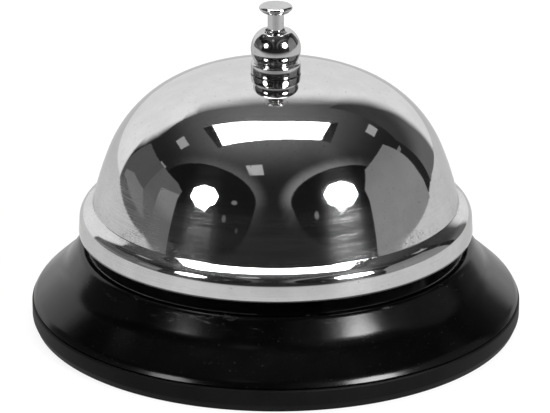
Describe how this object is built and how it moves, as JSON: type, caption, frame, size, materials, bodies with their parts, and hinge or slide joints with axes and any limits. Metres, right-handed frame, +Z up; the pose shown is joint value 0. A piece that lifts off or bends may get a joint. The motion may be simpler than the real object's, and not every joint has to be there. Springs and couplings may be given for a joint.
{
  "type": "service bell",
  "caption": "Counter call bell: domed metal gong on a sloping round base, rung from inside by a striker that a small push button drives.",
  "frame": {"origin": "centre of the flat face that the bell stands on", "axes": "+Z up along the plunger, +X towards the striker, -Y towards the viewer"},
  "size_m": [0.0852, 0.0852, 0.0566],
  "materials": {
    "chrome": "polished nickel-chrome plating on steel, finely brushed round the axis, worn low on the wall",
    "black_enamel": "gloss black stove enamel on pressed steel",
    "foot_rubber": "matt dark grey moulded rubber",
    "plated_steel": "dull zinc-plated steel",
    "fibre": "dull red-brown vulcanised fibre"
  },
  "bodies": {
    "stand": {"foot_ring": "foot_rubber", "bottom_disc": "plated_steel", "base_shell": "black_enamel", "striker_frame": "plated_steel", "frame_screw_1": "plated_steel", "frame_washer_1": "plated_steel", "frame_nut_1": "plated_steel", "frame_screw_2": "plated_steel", "frame_washer_2": "plated_steel", "frame_nut_2": "plated_steel", "gong_post": "plated_steel", "post_nut": "plated_steel", "support_nut": "plated_steel", "seat_washer": "fibre", "gong": "chrome", "cap_nut": "chrome", "plunger_spring": "plated_steel", "pivot_pin": "plated_steel", "pivot_clip_1": "plated_steel", "pivot_clip_2": "plated_steel"},
    "plunger": {"plunger_rod": "chrome", "plunger_button": "chrome", "plunger_clip": "plated_steel"},
    "striker": {"striker_lever": "plated_steel", "striker_head": "plated_steel"}
  },
  "joints": [
    {"name": "plunger_press", "type": "slide", "parent": "stand", "child": "plunger", "axis": [0, 0, -1], "range_m": [0, 0.0028], "stiffness_N_per_m": 300, "springref_m": -0.002, "deforming": ["plunger_spring"]},
    {"name": "striker_swing", "type": "hinge", "parent": "stand", "child": "striker", "pos_m": [0.008, 0, 0.0312], "axis": [0, -1, 0], "range_deg": [0, 22]}
  ],
  "couplings": [
    {"joint": "striker_swing", "follows": "plunger_press", "rad_per_m": 125}
  ]
}
